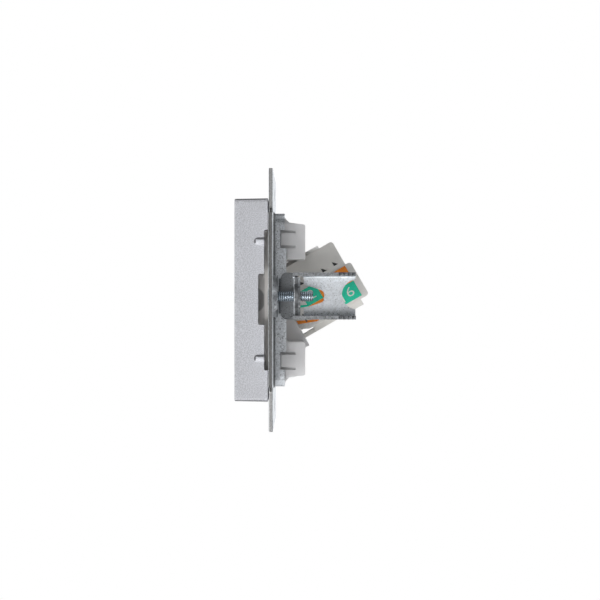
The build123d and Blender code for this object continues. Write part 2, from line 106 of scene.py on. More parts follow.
def maths(tree, operation, *values):
    """The result of one step of arithmetic."""
    made = tree.nodes.new("ShaderNodeMath")
    made.operation = operation
    for socket, value in zip(made.inputs, values):
        fill(tree, socket, value)
    return made.outputs["Value"]


print("node helpers ready")

# %% [markdown]
# ## Floor, sky and lamps
#
# The photograph has a white ground and soft light that comes from the room side and from below, so
# that the yoke shades the collar and faces that look down are the bright ones. A pale floor well under
# the part glows a little, as a light table does. The sky is white to the camera. To the part it is dim,
# but for a bright patch straight behind, which stands for the lit backdrop and whitens grazing faces.

# %% Pale floor
FLOOR_Z = -0.45
FLOOR_HALF = 0.9
FLOOR_GLOW = 0.3
FLOOR_WHITE = 0.97       # how far the camera sees it as white


def floor_paper():
    """Pale paper that glows a little, and is as white as the sky to the camera."""
    paper = bpy.data.materials.new("floor_paper")
    paper.use_nodes = True
    tree = paper.node_tree
    tree.nodes.clear()
    pale = node(tree, "ShaderNodeBsdfPrincipled", Base_Color=(0.9, 0.9, 0.9, 1), Roughness=0.8)
    pale.inputs["Emission Color"].default_value = (1, 1, 1, 1)
    pale.inputs["Emission Strength"].default_value = FLOOR_GLOW
    white = node(tree, "ShaderNodeEmission", Color=(1, 1, 1, 1))
    seen = node(tree, "ShaderNodeLightPath").outputs["Is Camera Ray"]
    blend = node(tree, "ShaderNodeMixShader", Fac=maths(tree, "MULTIPLY", seen, FLOOR_WHITE))
    tree.links.new(pale.outputs["BSDF"], blend.inputs[1])
    tree.links.new(white.outputs["Emission"], blend.inputs[2])
    node(tree, "ShaderNodeOutputMaterial", Surface=blend.outputs["Shader"])
    return paper


def pale_floor():
    """A wide pale floor under the part."""
    mesh = bpy.data.meshes.new("pale_floor")
    half = FLOOR_HALF
    corners = [(-half, -half), (half, -half), (half, half), (-half, half)]
    mesh.from_pydata([(x, y, FLOOR_Z) for x, y in corners], [], [(0, 1, 2, 3)])
    mesh.materials.append(floor_paper())
    floor = bpy.data.objects.new("pale_floor", mesh)
    scene.collection.objects.link(floor)
    return floor


print("floor at", round(pale_floor().data.vertices[0].co.z, 3), "m")

# %% Sky that is white to the camera and dim to the part
SKY_OVERHEAD = 0.10
SKY_BELOW = 0.26
BACKDROP = 2.4
BACKDROP_EDGE = 0.80     # cosine of the angle at which the backdrop ends


def studio_sky():
    """A world with a dim dome, a bright backdrop behind the part, and white for the camera."""
    world = bpy.data.worlds.new("studio_sky")
    world.use_nodes = True
    tree = world.node_tree
    tree.nodes.clear()
    look = node(tree, "ShaderNodeTexCoord").outputs["Generated"]
    ways = node(tree, "ShaderNodeSeparateXYZ", Vector=look).outputs
    dome = node(tree, "ShaderNodeMapRange", Value=ways["Z"], From_Min=-1.0)
    dome.inputs["To Min"].default_value = SKY_BELOW
    dome.inputs["To Max"].default_value = SKY_OVERHEAD
    wall = node(tree, "ShaderNodeMapRange", Value=ways["X"], From_Min=-1.0, From_Max=-BACKDROP_EDGE)
    wall.inputs["To Min"].default_value = BACKDROP
    wall.inputs["To Max"].default_value = 0.0
    strength = maths(tree, "ADD", dome.outputs["Result"], wall.outputs["Result"])
    dim = node(tree, "ShaderNodeBackground", Color=(0.96, 0.98, 1.0, 1), Strength=strength)
    white = node(tree, "ShaderNodeBackground", Color=(1, 1, 1, 1))
    seen = node(tree, "ShaderNodeLightPath").outputs["Is Camera Ray"]
    blend = node(tree, "ShaderNodeMixShader", Fac=seen)
    tree.links.new(dim.outputs["Background"], blend.inputs[1])
    tree.links.new(white.outputs["Background"], blend.inputs[2])
    node(tree, "ShaderNodeOutputWorld", Surface=blend.outputs["Shader"])
    return world


scene.world = studio_sky()
scene.view_settings.view_transform = "Standard"
print("sky from", SKY_BELOW, "below to", SKY_OVERHEAD, "overhead")

# %% Soft lamps


def soft_lamp(name, place, size, watts):
    """A square lamp that faces the part and stays out of the picture."""
    lamp = bpy.data.lights.new(name, "AREA")
    lamp.size = size
    lamp.energy = watts
    holder = bpy.data.objects.new(name, lamp)
    holder.location = place
    holder.rotation_euler = (-Vector(place)).to_track_quat("-Z", "Y").to_euler()
    holder.visible_camera = False
    scene.collection.objects.link(holder)
    return holder


lamps = [
    soft_lamp("room_lamp", (0.62, -0.33, -0.36), 0.50, 6.6),
    soft_lamp("camera_lamp", (0.85, 0.03, 0.02), 0.25, 0.40),
    soft_lamp("top_lamp", (0.10, -0.20, 0.70), 0.50, 1.5),
    soft_lamp("rear_lamp", (-0.25, 0.70, 0.10), 0.60, 2.5),
]
print("lamps:", [lamp.name for lamp in lamps])

# %% [markdown]
# ## How a finish is made
#
# Every finish here is a Principled shader fed by noise in Object coordinates, which are metres on this
# part, so a grain of 0.3 mm is a noise scale of one over 0.0003. A few small helpers keep the recipes
# short: one starts a finish, one lays a grain, one turns a value into tones, and one glazes a tone over
# another.

# %% Helpers for finishes


def start_finish(name, roughness, metallic=0.0):
    """A new finish, its node tree and its shader."""
    finish = bpy.data.materials.new(name)
    finish.use_nodes = True
    shader = finish.node_tree.nodes["Principled BSDF"]
    shader.inputs["Roughness"].default_value = roughness
    shader.inputs["Metallic"].default_value = metallic
    return finish, finish.node_tree, shader


def place_on_part(tree):
    """The point on the part, in metres."""
    return node(tree, "ShaderNodeTexCoord").outputs["Object"]


def grain(tree, size, detail=2.0, stretch=(1, 1, 1)):
    """Noise with grains of that size in metres, stretched along some axes."""
    turned = node(tree, "ShaderNodeMapping", Vector=place_on_part(tree), Scale=stretch).outputs["Vector"]
    noise = node(tree, "ShaderNodeTexNoise", Vector=turned, Scale=1 / size, Detail=detail)
    return noise.outputs["Fac"]


def ramp(tree, value, stops):
    """Colours along a value, given as (place, colour) pairs."""
    made = node(tree, "ShaderNodeValToRGB", Fac=value)
    elements = made.color_ramp.elements
    elements[0].position = stops[0][0]
    elements[1].position = stops[-1][0]
    for place, colour in stops[1:-1]:
        elements.new(place)
    for element, (place, colour) in zip(elements, stops):
        element.color = (*colour, 1)
    return made.outputs["Color"]


def glaze(tree, first, second, share):
    """The second colour multiplied over the first, by that share."""
    made = tree.nodes.new("ShaderNodeMix")
    made.data_type = "RGBA"
    made.blend_type = "MULTIPLY"
    made.inputs["Factor"].default_value = share
    tree.links.new(first, made.inputs[6])
    tree.links.new(second, made.inputs[7])
    return made.outputs[2]


def use(tree, shader, colour, bump, depth):
    """Links a colour, and a bump of that depth in metres, to the shader."""
    tree.links.new(colour, shader.inputs["Base Color"])
    raised = node(tree, "ShaderNodeBump", Height=bump, Distance=depth, Strength=1.0)
    tree.links.new(raised.outputs["Normal"], shader.inputs["Normal"])


def distance(tree, across, up):
    """The distance that two steps at right angles make."""
    squares = [maths(tree, "MULTIPLY", step, step) for step in (across, up)]
    return maths(tree, "SQRT", maths(tree, "ADD", *squares))


def tone(value, tint=(1, 1, 1)):
    """A grey of that brightness, tinted."""
    return tuple(value * part for part in tint)


print("finish helpers ready")

# %% [markdown]
# ## Silver paint
#
# The cover is plastic under a metallic lacquer. Its flakes show as a fine speckle about a third of a
# millimetre across, which a mirror-like metal would hide, so the paint is only partly metallic. A darker
# mix is painted shade along its upper edge, on the tops and fronts of its small ribs and under its lower
# edge. A brighter mix is a painted highlight on the rest of the ribs and along the lower edge.

# %% Silver paint
COOL = (0.965, 0.975, 1.03)
FLAKE = 0.28 * MM
FLAKE_RELIEF = 0.004 * MM
PAINT_CLOUD = 14 * MM


def silver_paint(name, dark, light):
    """Satin silver lacquer with visible flakes."""
    finish, tree, shader = start_finish(name, roughness=0.60, metallic=0.10)
    flakes = grain(tree, FLAKE, detail=3.0)
    colour = ramp(tree, flakes, [(0.35, tone(dark, COOL)), (0.65, tone(light, COOL))])
    clouds = ramp(tree, grain(tree, PAINT_CLOUD), [(0.3, tone(0.95)), (0.7, tone(1.0))])
    use(tree, shader, glaze(tree, colour, clouds, 0.8), flakes, FLAKE_RELIEF)
    return finish


paint = silver_paint("silver_paint", 0.39, 0.61)
# Darker and lighter copies of the paint, as painted shade and painted highlight.
shaded_paint = silver_paint("shaded_paint", 0.14, 0.20)
highlight_paint = silver_paint("highlight_paint", 0.56, 0.72)
print("made", paint.name, shaded_paint.name, highlight_paint.name)

# %% [markdown]
# ## Zinc plating
#
# The yoke and the claws are cut from zinc-coated sheet. The coat has a spangle of crystals about half
# a millimetre wide, a dull haze, and dark specks where it is thin. A pattern of cells gives each crystal
# its own tone, and noise does the rest. On the claws the specks crowd together low down. Two places
# carry painted shade: the claw's foot ahead of its lug, and the root of the collar, where it rises from
# the yoke's plate. One recipe with a few settings gives all these coats, the dull edges of the claws
# and the painted highlights on their bends too.

# %% Zinc plating
LUG_FRONT = 5.7 * MM
COLLAR_SIDE = 24.4 * MM
COLLAR_SHADE = 0.28
FOOT_SHADE = 0.39
LUG_HIGHLIGHT = 1.8
LUG_DARKER = 0.45
BLUISH = (0.955, 0.99, 1.03)
CRYSTAL = 0.5 * MM
HAZE = 3 * MM
PIT = 0.35 * MM
PIT_DEPTH = 0.006 * MM
LOW_SPECKS = 0.10           # added to the noise low down on the claw
LOW_SPECKS_BLUR = 1.5 * MM


def fade(tree, value, start, end, first, last):
    """A value that goes from first to last as another goes from start to end."""
    made = node(tree, "ShaderNodeMapRange", Value=value, From_Min=start, From_Max=end)
    made.inputs["To Min"].default_value = first
    made.inputs["To Max"].default_value = last
    return made.outputs["Result"]


def foot_shade(tree, ways):
    """Painted shade ahead of the lug."""
    return fade(tree, ways["Y"], LUG_FRONT - 0.3 * MM, LUG_FRONT, FOOT_SHADE, 1.0)


def collar_root_shade(tree, ways):
    """Painted shade up to half a millimetre above the plate, on the collar alone."""
    above = fade(tree, ways["Y"], 0.35 * MM, 0.65 * MM, COLLAR_SHADE, 1.0)
    plate = fade(tree, ways["Y"], 0.03 * MM, 0.08 * MM, 1.0, COLLAR_SHADE)
    reach = maths(tree, "ABSOLUTE", ways["X"])
    beside = fade(tree, reach, COLLAR_SIDE, COLLAR_SIDE + 0.5 * MM, COLLAR_SHADE, 1.0)
    return maths(tree, "MAXIMUM", maths(tree, "MAXIMUM", above, plate), beside)


def lug_edge(tree, ways):
    """A painted highlight along the front of the lug, and darker behind that."""
    front = fade(tree, ways["Y"], LUG_FRONT + 0.10 * MM, LUG_FRONT + 0.25 * MM, LUG_HIGHLIGHT, LUG_DARKER)
    rear = fade(tree, ways["Y"], LUG_FRONT + 0.9 * MM, LUG_FRONT + 1.2 * MM, LUG_DARKER, 1.0)
    return maths(tree, "MAXIMUM", front, rear)


def zinc_plating(name, light, dark, specks, roughness, shade=None, specks_below=None, metallic=0.85):
    """Spangled zinc. Specks is the noise level above which the coat looks dark."""
    finish, tree, shader = start_finish(name, roughness, metallic)
    place = place_on_part(tree)
    ways = node(tree, "ShaderNodeSeparateXYZ", Vector=place).outputs
    crystals = node(tree, "ShaderNodeTexVoronoi", Vector=place, Scale=1 / CRYSTAL)
    mean = node(tree, "ShaderNodeRGBToBW", Color=crystals.outputs["Color"]).outputs["Val"]
    colour = ramp(tree, mean, [(0.2, tone(dark, BLUISH)), (0.8, tone(light, BLUISH))])
    haze = ramp(tree, grain(tree, HAZE, detail=4.0), [(0.3, tone(0.9)), (0.7, tone(1.0))])
    colour = glaze(tree, colour, haze, 0.7)
    pits = grain(tree, PIT, detail=4.0)
    wear = pits
    if shade is not None:
        colour = glaze(tree, colour, shade(tree, ways), 1.0)
    if specks_below is not None:
        crowding = fade(tree, ways["Z"], specks_below - LOW_SPECKS_BLUR, specks_below, LOW_SPECKS, 0.0)
        wear = maths(tree, "ADD", pits, crowding)
    stains = ramp(tree, wear, [(specks, tone(1.0)), (specks + 0.08, tone(0.3))])
    use(tree, shader, glaze(tree, colour, stains, 0.85), pits, PIT_DEPTH)
    uneven = fade(tree, mean, 0.0, 1.0, roughness - 0.06, roughness + 0.1)
    tree.links.new(uneven, shader.inputs["Roughness"])
    return finish


yoke_zinc = zinc_plating("yoke_zinc", 0.74, 0.54, 0.57, 0.46, collar_root_shade)
claw_zinc = zinc_plating("claw_zinc", 0.70, 0.56, 0.60, 0.55, foot_shade, specks_below=-3.0 * MM)
worn_zinc = zinc_plating("worn_zinc", 0.55, 0.34, 0.54, 0.40)
lug_zinc = zinc_plating("lug_zinc", 0.44, 0.32, 0.58, 0.55, lug_edge, metallic=0.3)
bite_zinc = zinc_plating("bite_zinc", 0.33, 0.20, 0.54, 0.42)
# Painted highlight, for the claws' inner bends and the collar's lower corners.
highlight_zinc = zinc_plating("highlight_zinc", 0.95, 0.82, 0.62, 0.40)
zincs = [yoke_zinc, claw_zinc, worn_zinc, lug_zinc, bite_zinc, highlight_zinc]
print("made", [zinc.name for zinc in zincs])

# %% [markdown]
# A sheared edge has bands. Where the punch bit first it is burnished and light, and where the sheet
# tore it is rough and dark. The bands lie across the sheet, so they follow Y. The edges of the upper
# and lower tabs are more even.

# %% Sheared edge of the yoke
YOKE_SHEET = 1.1 * MM
WAVER = 0.06 * MM
WAVER_LENGTH = 1.2 * MM
SHEAR_GRAIN = 0.2 * MM


def sheared_zinc(name, bands):
    """Bands across the thickness of the sheet, given as (share of it, brightness) from the front."""
    finish, tree, shader = start_finish(name, roughness=0.45, metallic=0.7)
    depth = node(tree, "ShaderNodeSeparateXYZ", Vector=place_on_part(tree)).outputs["Y"]
    waver = fade(tree, grain(tree, WAVER_LENGTH), 0.0, 1.0, -WAVER, WAVER)
    across = fade(tree, maths(tree, "ADD", depth, waver), -YOKE_SHEET, 0.0, 0.0, 1.0)
    colour = ramp(tree, across, [(share, tone(brightness)) for share, brightness in bands])
    speck = grain(tree, SHEAR_GRAIN, detail=3.0)
    spots = ramp(tree, speck, [(0.35, tone(0.6)), (0.65, tone(1.0))])
    use(tree, shader, glaze(tree, colour, spots, 0.8), speck, 0.01 * MM)
    return finish


burnished = [(0.0, 0.50), (0.16, 0.50)]
torn = [(0.24, 0.05), (0.50, 0.08), (0.60, 0.26), (0.70, 0.24), (0.80, 0.02)]
tab_bands = [(0.0, 0.34), (0.5, 0.36), (1.0, 0.36)]
cut_zinc = sheared_zinc("cut_zinc", burnished + torn)
tab_zinc = sheared_zinc("tab_zinc", tab_bands)
print("made", cut_zinc.name, tab_zinc.name)

# %% [markdown]
# ## Moulded plastics
#
# The carrier is a cool white, the jack a warmer white. Moulded parts are never quite even: flow and
# handling leave pale clouds, and the mould leaves a fine matt grain that breaks up the highlights. A
# little light also travels through the plastic, which softens its shadows. Inside the cover the
# carrier is a browner copy, with painted light near the opening, painted shade further in, and a
# painted round shadow beside the screw.

# %% Moulded plastics
MOULD_CLOUD = 6 * MM
MOULD_GRAIN = 0.15 * MM
MOULD_RELIEF = 0.003 * MM
LIGHT_SHARE = 0.3        # of the light, which travels through the plastic
LIGHT_REACH = 2 * MM
DEEP_Y = (-2.8 * MM, -2.3 * MM)
DEEP_SHADE = 0.75
PATCH_Y = -5.9 * MM
PATCH_RADIUS = (3.5 * MM, 3.9 * MM)
PATCH_SHADE = 0.35


def cover_shade(tree):
    """Painted shade: dim further than two and a half millimetres into the cover, and darkest in a round
    painted shadow.
    """
    ways = node(tree, "ShaderNodeSeparateXYZ", Vector=place_on_part(tree)).outputs
    from_patch = distance(tree, maths(tree, "SUBTRACT", ways["Y"], PATCH_Y), ways["Z"])
    inside = fade(tree, from_patch, *PATCH_RADIUS, PATCH_SHADE, DEEP_SHADE)
    return maths(tree, "MAXIMUM", inside, fade(tree, ways["Y"], *DEEP_Y, 0.0, 1.0))


def moulded_plastic(name, light, dark, roughness, shade=None):
    """Satin plastic between two close tones, with a fine mould grain."""
    finish, tree, shader = start_finish(name, roughness)
    shader.inputs["Subsurface Weight"].default_value = LIGHT_SHARE
    shader.inputs["Subsurface Radius"].default_value = (1, 1, 1)
    shader.inputs["Subsurface Scale"].default_value = LIGHT_REACH
    clouds = grain(tree, MOULD_CLOUD, detail=3.0)
    texture = grain(tree, MOULD_GRAIN)
    colour = ramp(tree, clouds, [(0.35, dark), (0.65, light)])
    fine = ramp(tree, texture, [(0.3, tone(0.96)), (0.7, tone(1.0))])
    if shade is not None:
        colour = glaze(tree, colour, shade(tree), 1.0)
    use(tree, shader, glaze(tree, colour, fine, 1.0), texture, MOULD_RELIEF)
    return finish


carrier_plastic = moulded_plastic("carrier_plastic", (0.73, 0.725, 0.73), (0.67, 0.665, 0.67), 0.42)
# Inside the cover: a browner copy of the plastic, lighter near the opening as painted light, and dimmed
# further in by painted shade.
shaded_plastic = moulded_plastic(
    "shaded_plastic", (0.88, 0.84, 0.80), (0.82, 0.78, 0.74), 0.5, cover_shade
)
jack_plastic = moulded_plastic("jack_plastic", (0.80, 0.785, 0.755), (0.75, 0.735, 0.70), 0.38)
comb_plastic = moulded_plastic("comb_plastic", (0.030, 0.030, 0.033), (0.018, 0.018, 0.020), 0.35)
board_lacquer = moulded_plastic("board_lacquer", (0.02, 0.13, 0.05), (0.012, 0.09, 0.035), 0.3)
print("made", carrier_plastic.name, shaded_plastic.name, jack_plastic.name, comb_plastic.name)

# %% [markdown]
# ## Small metals
#
# The contact wires have a thin gold, and the terminal blades tin. Each is one tone with a fine drawn
# grain, so that they don't look like flat paint close up. The screws have a bright blue-white zinc,
# with painted shade in the roots of their threads. A root is nearer to the screw's axis than a crest
# is, so the distance from that axis tells where the painted shade goes.

# %% Small metals
DRAWN_GRAIN = 0.12 * MM
DRAWN_RELIEF = 0.003 * MM


def drawn_metal(name, light, dark, roughness):
    """Bright metal with fine streaks along Y, as wire and screws have."""
    finish, tree, shader = start_finish(name, roughness, metallic=0.9)
    streaks = grain(tree, DRAWN_GRAIN, detail=3.0, stretch=(1, 0.15, 1))
    use(tree, shader, ramp(tree, streaks, [(0.3, dark), (0.7, light)]), streaks, DRAWN_RELIEF)
    return finish


contact_gold = drawn_metal("contact_gold", (0.90, 0.66, 0.26), (0.78, 0.52, 0.18), 0.22)
blade_tin = drawn_metal("blade_tin", (0.74, 0.73, 0.70), (0.58, 0.57, 0.55), 0.32)
print("made", contact_gold.name, blade_tin.name)

# %% Zinc of the screws
THREAD_RADIUS = 1.48 * MM
THREAD_DEPTH = 0.30 * MM
CLEAN_CREST = 0.05 * MM
THREAD_SHADE = 0.35


def threaded_zinc():
    """Bright zinc, with painted shade in the roots of the thread."""
    low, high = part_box("claw_screw_right")
    finish, tree, shader = start_finish("screw_zinc", roughness=0.26, metallic=0.9)
    ways = node(tree, "ShaderNodeSeparateXYZ", Vector=place_on_part(tree)).outputs
    aside = maths(tree, "SUBTRACT", maths(tree, "ABSOLUTE", ways["X"]), (low.x + high.x) / 2)
    above = maths(tree, "SUBTRACT", ways["Z"], (low.z + high.z) / 2)
    radius = distance(tree, aside, above)
    root, crest = THREAD_RADIUS - THREAD_DEPTH, THREAD_RADIUS - CLEAN_CREST
    root_shade = fade(tree, radius, root, crest, THREAD_SHADE, 1.0)
    streaks = grain(tree, DRAWN_GRAIN, detail=3.0)
    colour = ramp(tree, streaks, [(0.3, (0.64, 0.72, 0.80)), (0.7, (0.84, 0.93, 1.0))])
    use(tree, shader, glaze(tree, colour, root_shade, 1.0), streaks, DRAWN_RELIEF)
    return finish


screw_zinc = threaded_zinc()
print("made", screw_zinc.name)

# %% [markdown]
# ## Softened edges
#
# A CAD edge is a perfect knife edge, and nothing real is. Each shown piece is therefore a copy of its
# CAD node: the loose triangles are merged into flat faces, every sharp edge gets a small bevel, and the
# normals are weighted so that the flats stay flat. The node itself is left as it is and only hidden.

# %% A dressed copy of a CAD node
MERGE = 0.0005 * MM
FLAT_ANGLE = math.radians(0.6)
SHARP_ANGLE = math.radians(35)


def softened(name, edge):
    """Mesh of a CAD node with its sharp edges bevelled. The bevels take the second finish."""
    shape = bmesh.new()
    shape.from_mesh(nodes[name].data)
    for face in shape.faces:
        face.material_index = 0
    bmesh.ops.remove_doubles(shape, verts=shape.verts, dist=MERGE)
    bmesh.ops.dissolve_limit(shape, angle_limit=FLAT_ANGLE, verts=shape.verts, edges=shape.edges)
    sharp = [line for line in shape.edges if line.is_manifold and line.calc_face_angle() > SHARP_ANGLE]
    bmesh.ops.bevel(
        shape, geom=sharp, offset=edge, segments=2, profile=0.5, affect="EDGES",
        clamp_overlap=True, material=1, loop_slide=True,
    )
    return shape


def as_mesh(name, shape, finishes):
    """A mesh from the shape, which it frees, with these finishes."""
    mesh = bpy.data.meshes.new(name)
    shape.to_mesh(mesh)
    shape.free()
    for finish in finishes:
        mesh.materials.append(finish)
    return mesh


def finished_piece(mesh, body, slot, *replaced):
    """An object from the mesh, smooth but for its sharp edges, which stands for CAD nodes."""
    mesh.shade_smooth()
    mesh.set_sharp_from_angle(angle=SHARP_ANGLE)
    piece = bpy.data.objects.new(mesh.name, mesh)
    scene.collection.objects.link(piece)
    weights = piece.modifiers.new("flat_faces", "WEIGHTED_NORMAL")
    weights.keep_sharp = True
    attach(piece, body)
    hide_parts(*replaced)
    print(mesh.name, "has", len(mesh.polygons), "faces")
    return piece


print("dressing helpers ready")

# %% [markdown]
# ## Cover and carrier
#
# These two are mouldings whose shape the CAD already has, so they only need softened edges. The part
# of the carrier that stands inside the cover gets a browner plastic with painted light and shade. Which
# paint a face of the cover gets, plain, painted shade or painted highlight, depends on where it lies
# and on which way it looks.

# %% Cover and carrier
INSIDE_COVER = -1.0 * MM
PAINTED, PAINT_SHADE, PAINT_HIGHLIGHT = range(3)
EDGE_Z = 27.0 * MM
RIB_X = 27.55 * MM
EDGE_TURN = 0.55         # a turn is how far a face looks up or down, from 0 to 1
LOW_EDGE_TURN = 0.15
LOW_EDGE_END = 0.7
RIB_TURN = 0.45
FLAT_TURN = 0.999


def moulded_carrier():
    """The carrier, with painted light and shade where it stands inside the cover."""
    shape = softened("jack_carrier", 0.08 * MM)
    for face in shape.faces:
        face.material_index = 1 if face.calc_center_median().y < INSIDE_COVER else 0
    return as_mesh("carrier", shape, [carrier_plastic, shaded_plastic])


def painted_cover():
    """The cover, with painted shade along its edges and on top of its ribs, and a painted highlight below
    those.
    """
    shape = softened("cover_plate", 0.10 * MM)
    for face in shape.faces:
        middle = face.calc_center_median()
        turn = face.normal.z
        face.material_index = PAINTED
        # Painted shade on the upper edge, painted highlight and shade on the lower edge, and on the ribs
        # painted shade on top and front and a painted highlight elsewhere.
        if middle.z > EDGE_Z and EDGE_TURN < turn < FLAT_TURN:
            face.material_index = PAINT_SHADE
        elif middle.z < -EDGE_Z and -FLAT_TURN < turn < -LOW_EDGE_TURN:
            face.material_index = PAINT_HIGHLIGHT if turn > -LOW_EDGE_END else PAINT_SHADE
        elif abs(middle.x) > RIB_X:
            shaded = turn > RIB_TURN or face.normal.y < -RIB_TURN < turn
            face.material_index = PAINT_SHADE if shaded else PAINT_HIGHLIGHT
    return as_mesh("cover", shape, [paint, shaded_paint, highlight_paint])


finished_piece(painted_cover(), "socket", "silver_paint", "cover_plate")
finished_piece(moulded_carrier(), "socket", "white_plastic", "jack_carrier")

# %% [markdown]
# ## The yoke
#
# The yoke was stamped from sheet, so the faces round its outline are sheared ones. They are the faces
# that look along the sheet and lie outside the collar. The lower corners of the collar carry a painted
# highlight.

# %% Yoke
CUT, TAB, CORNER = range(2, 5)
COLLAR_REACH = 25 * MM
TAB_Z = 24.8 * MM
EDGE_TILT = 0.5
CORNER_X = 20 * MM
CORNER_Y = 0.7 * MM
CORNER_TURN = (0.45, 0.92)


def stamped_yoke():
    """The yoke, sheared along its outline, with a painted highlight on its collar's lower corners."""
    shape = softened("mounting_yoke", 0.06 * MM)
    for face in shape.faces:
        middle = face.calc_center_median()
        outside = max(abs(middle.x), abs(middle.z)) > COLLAR_REACH
        if outside and abs(face.normal.y) < EDGE_TILT:
            face.material_index = TAB if abs(middle.z) > TAB_Z else CUT
        elif middle.y > CORNER_Y and abs(middle.x) > CORNER_X and middle.z < 0:
            if CORNER_TURN[0] < -face.normal.z < CORNER_TURN[1]:
                face.material_index = CORNER
    return as_mesh("yoke", shape, [yoke_zinc, worn_zinc, cut_zinc, tab_zinc, highlight_zinc])


finished_piece(stamped_yoke(), "socket", "zinc_steel", "mounting_yoke")

# %% [markdown]
# ## The jack and its cap
#
# The jack's body and the cap over its terminals are two mouldings of the same warm white plastic.

# %% Jack and cap
jack = as_mesh("jack", softened("jack_housing", 0.08 * MM), [jack_plastic] * 2)
finished_piece(jack, "socket", "jack_plastic", "jack_housing")
cap = as_mesh("cap", softened("wiring_cap", 0.08 * MM), [jack_plastic] * 2)
finished_piece(cap, "socket", "jack_plastic", "wiring_cap")

# %% [markdown]
# ## The claws
#
# Each claw is a bent strip. Its cut edges lost their zinc in the press, and so did the lug that was
# bent out of it and the outer ends of the two flanges, which bite into the wall box. A painted
# highlight lies along the inner bend below the upper flange and along the front of the lug. The lug is
# thicker beside its threaded boss, so two small blocks fill it there, one above the screw and one below.

# %% Claws
LUG, BITE, BEND = range(2, 5)
BITE_X = 28.0 * MM
BEND_LOW = 5.9 * MM
BEND_HIGH = 6.5 * MM
BEND_TURN = 0.1
LUG_X = 24.4 * MM
LUG_REAR = 7.5 * MM
LUG_FILL = (6.65 * MM, 7.38 * MM)
CLAW_BACK = 24.1 * MM
SCREW_Z = 1.0 * MM
# Side of a block, in millimetres out from the claw's back and up from the screw.
LUG_SIDE = [(0, 1.6), (0, 5.2), (1.6, 5.2), (1.6, 3.3), (2.9, 2.86), (2.9, 2.0)]


def thicken_lug(shape, way):
    """Fills the lug beside its boss, above and below the screw."""
    for turn in (1, -1):
        levels = []
        for y in LUG_FILL:
            outline = [(way * (CLAW_BACK + x * MM), y, SCREW_Z + turn * z * MM) for x, z in LUG_SIDE]
            levels.append([shape.verts.new(point) for point in outline])
        front, rear = levels
        made = [shape.faces.new(front), shape.faces.new(rear)]
        for start in range(len(front)):
            end = (start + 1) % len(front)
            made.append(shape.faces.new([front[start], front[end], rear[end], rear[start]]))
        bmesh.ops.recalc_face_normals(shape, faces=made)


def spreading_claw(side, way):
    """A claw whose cut edges, biting ends and lug are worn, with a painted highlight on its inner bend."""
    shape = softened(f"claw_{side}", 0.08 * MM)
    thicken_lug(shape, way)
    for face in shape.faces:
        middle = face.calc_center_median()
        if abs(middle.x) > LUG_X and LUG_FRONT < middle.y < LUG_REAR:
            face.material_index = LUG
        elif abs(middle.x) > BITE_X:
            face.material_index = BITE
        elif abs(middle.x) > CLAW_BACK and BEND_LOW < middle.z < BEND_HIGH:
            if face.normal.z < -BEND_TURN:
                face.material_index = BEND
    finishes = [claw_zinc, worn_zinc, lug_zinc, bite_zinc, highlight_zinc]
    return as_mesh(f"spreading_claw_{side}", shape, finishes)


for side, way in (("right", 1), ("left", -1)):
    finished_piece(spreading_claw(side, way), f"claw_{side}", "zinc_steel", f"claw_{side}")

# %% [markdown]
# ## Grown pieces
#
# What repeats, or follows a path, is grown by Geometry Nodes. A tree starts with named inputs and ends
# by making its instances real and setting a finish. Its result is then kept as a plain mesh, and the
# object that carried the tree is removed.

# %% Helpers for grown pieces


def geometry_tree(name, **inputs):
    """A geometry tree with named inputs of the given kinds, and the sockets that bring them."""
    tree = bpy.data.node_groups.new(name, "GeometryNodeTree")
    tree.interface.new_socket("Geometry", in_out="INPUT", socket_type="NodeSocketGeometry")
    for label, kind in inputs.items():
        tree.interface.new_socket(label, in_out="INPUT", socket_type="NodeSocket" + kind)
    tree.interface.new_socket("Geometry", in_out="OUTPUT", socket_type="NodeSocketGeometry")
    return tree, node(tree, "NodeGroupInput").outputs


def end_tree(tree, geometry, finish):
    """Closes a tree: its instances become real and take the finish."""
    real = node(tree, "GeometryNodeRealizeInstances", Geometry=geometry).outputs["Geometry"]
    done = node(tree, "GeometryNodeSetMaterial", Geometry=real, Material=finish).outputs["Geometry"]
    node(tree, "NodeGroupOutput", Geometry=done)


def grown(name, tree, base, **values):
    """The plain mesh that a tree makes from a base mesh and these input values."""
    carrier_object = bpy.data.objects.new(name, base)
    scene.collection.objects.link(carrier_object)
    growth = carrier_object.modifiers.new(tree.name, "NODES")
    growth.node_group = tree
    for item in tree.interface.items_tree:
        if item.in_out == "INPUT" and item.name in values:
            growth[item.identifier] = values[item.name]
    evaluated = carrier_object.evaluated_get(bpy.context.evaluated_depsgraph_get())
    mesh = bpy.data.meshes.new_from_object(evaluated)
    mesh.name = name
    bpy.data.objects.remove(carrier_object)
    return mesh


print("growing helpers ready")

# %% [markdown]
# ## Contact wires
#
# Eight sprung wires meet the plug. Each leaves the board, runs forward under the jack's roof, turns,
# and comes back down into the port. One path in the jack's own axes, tilted with the jack, is rounded
# at its bends, given a round section, and repeated at the pitch of the plug.

# %% Path of one contact wire
JACK_TILT = math.radians(30)
CONTACT_COUNT = 8
CONTACT_PITCH = 1.02 * MM
WIRE_RADIUS = 0.2 * MM
WIRE_BEND = 0.35 * MM
WIRE_SIDES = 14
BEND_STEPS = 6
BOARD_TOP = -0.33
CONTACT_LEG = 8.2
CONTACT_RUN = -3.2
CONTACT_TURN = -0.8
CONTACT_END = (5.0, -6.4)


def in_jack(along, up):
    """A point on the middle plane, from millimetres along the jack and across it."""
    run = Vector((0, math.cos(JACK_TILT), math.sin(JACK_TILT))) * along
    rise = Vector((0, -math.sin(JACK_TILT), math.cos(JACK_TILT))) * up
    return (run + rise) * MM


